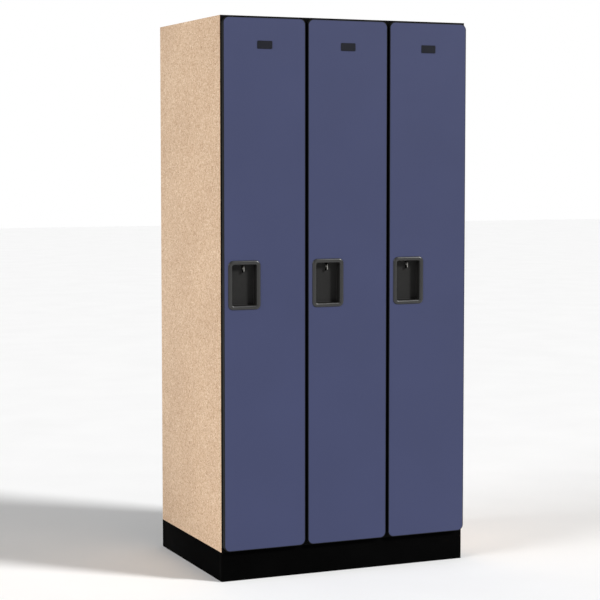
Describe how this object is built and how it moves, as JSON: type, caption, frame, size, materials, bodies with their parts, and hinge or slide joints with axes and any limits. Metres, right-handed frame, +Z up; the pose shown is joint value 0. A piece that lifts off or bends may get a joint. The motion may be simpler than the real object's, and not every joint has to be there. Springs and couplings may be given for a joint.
{
  "type": "locker cabinet",
  "caption": "Free-standing run of full-height laminate lockers on a plinth, with recessed pulls, padlock eyes, hat shelves and coat rods behind side-hinged doors.",
  "frame": {"origin": "on the floor, under the middle of the overall box, door pulls included", "axes": "+Z up (the longest extent), +X to the right seen from the front, +Y from the doors to the back"},
  "size_m": [0.9144, 0.6346, 1.9],
  "materials": {
    "particleboard": "tan fine-speckled particleboard, matt",
    "black_board": "black melamine-faced board, fine texture",
    "black_plinth": "black melamine-faced board, matt",
    "door_laminate": "slate-blue high-pressure laminate, matt suede texture",
    "edging": "black plastic edge moulding, satin",
    "pull_plastic": "black moulded plastic, fine texture",
    "plate_plastic": "blank black plastic, satin",
    "padlock_steel": "zinc-plated steel, brushed",
    "hinge_steel": "nickel-plated pressed steel",
    "chrome": "polished chrome tube"
  },
  "bodies": {
    "carcass": {"left_side_panel": "particleboard", "right_side_panel": "particleboard", "top_panel": "particleboard", "bottom_panel": "black_board", "back_panel": "black_board", "partition_1": "black_board", "partition_2": "black_board", "plinth_front": "black_plinth", "plinth_rear": "black_plinth", "plinth_left_end": "black_plinth", "plinth_right_end": "black_plinth", "plinth_stretcher": "black_plinth", "hat_shelf_1": "black_board", "coat_rod_1": "chrome", "padlock_eye_1": "padlock_steel", "hinge_arm_1_top": "hinge_steel", "hinge_arm_1_middle": "hinge_steel", "hinge_arm_1_bottom": "hinge_steel", "hat_shelf_2": "black_board", "coat_rod_2": "chrome", "padlock_eye_2": "padlock_steel", "hinge_arm_2_top": "hinge_steel", "hinge_arm_2_middle": "hinge_steel", "hinge_arm_2_bottom": "hinge_steel", "hat_shelf_3": "black_board", "coat_rod_3": "chrome", "padlock_eye_3": "padlock_steel", "hinge_arm_3_top": "hinge_steel", "hinge_arm_3_middle": "hinge_steel", "hinge_arm_3_bottom": "hinge_steel"},
    "hinge_links_1": {"hinge_link_1_top": "hinge_steel", "hinge_link_1_middle": "hinge_steel", "hinge_link_1_bottom": "hinge_steel"},
    "door_1": {"door_panel_1": "door_laminate", "door_edging_1": "edging", "pull_cup_1": "pull_plastic", "number_plate_1": "plate_plastic", "hinge_cup_1_top": "hinge_steel", "hinge_cup_1_middle": "hinge_steel", "hinge_cup_1_bottom": "hinge_steel"},
    "hinge_links_2": {"hinge_link_2_top": "hinge_steel", "hinge_link_2_middle": "hinge_steel", "hinge_link_2_bottom": "hinge_steel"},
    "door_2": {"door_panel_2": "door_laminate", "door_edging_2": "edging", "pull_cup_2": "pull_plastic", "number_plate_2": "plate_plastic", "hinge_cup_2_top": "hinge_steel", "hinge_cup_2_middle": "hinge_steel", "hinge_cup_2_bottom": "hinge_steel"},
    "hinge_links_3": {"hinge_link_3_top": "hinge_steel", "hinge_link_3_middle": "hinge_steel", "hinge_link_3_bottom": "hinge_steel"},
    "door_3": {"door_panel_3": "door_laminate", "door_edging_3": "edging", "pull_cup_3": "pull_plastic", "number_plate_3": "plate_plastic", "hinge_cup_3_top": "hinge_steel", "hinge_cup_3_middle": "hinge_steel", "hinge_cup_3_bottom": "hinge_steel"}
  },
  "joints": [
    {"name": "hinge_link_turn_1", "type": "hinge", "parent": "carcass", "child": "hinge_links_1", "pos_m": [-0.19207, -0.3013, 0.9998], "axis": [0, 0, 1], "range_deg": [-47.08, 0]},
    {"name": "door_swing_1", "type": "hinge", "parent": "hinge_links_1", "child": "door_1", "pos_m": [-0.17307, -0.2983, 0.9998], "axis": [0, 0, 1], "range_deg": [0, 147.1]},
    {"name": "hinge_link_turn_2", "type": "hinge", "parent": "carcass", "child": "hinge_links_2", "pos_m": [0.11407, -0.3013, 0.9998], "axis": [0, 0, 1], "range_deg": [-47.08, 0]},
    {"name": "door_swing_2", "type": "hinge", "parent": "hinge_links_2", "child": "door_2", "pos_m": [0.13307, -0.2983, 0.9998], "axis": [0, 0, 1], "range_deg": [0, 147.1]},
    {"name": "hinge_link_turn_3", "type": "hinge", "parent": "carcass", "child": "hinge_links_3", "pos_m": [0.4202, -0.3013, 0.9998], "axis": [0, 0, 1], "range_deg": [-47.08, 0]},
    {"name": "door_swing_3", "type": "hinge", "parent": "hinge_links_3", "child": "door_3", "pos_m": [0.4392, -0.2983, 0.9998], "axis": [0, 0, 1], "range_deg": [0, 147.1]}
  ],
  "couplings": [
    {"joint": "hinge_link_turn_1", "follows": "door_swing_1", "ratio": -0.32},
    {"joint": "hinge_link_turn_2", "follows": "door_swing_2", "ratio": -0.32},
    {"joint": "hinge_link_turn_3", "follows": "door_swing_3", "ratio": -0.32}
  ]
}
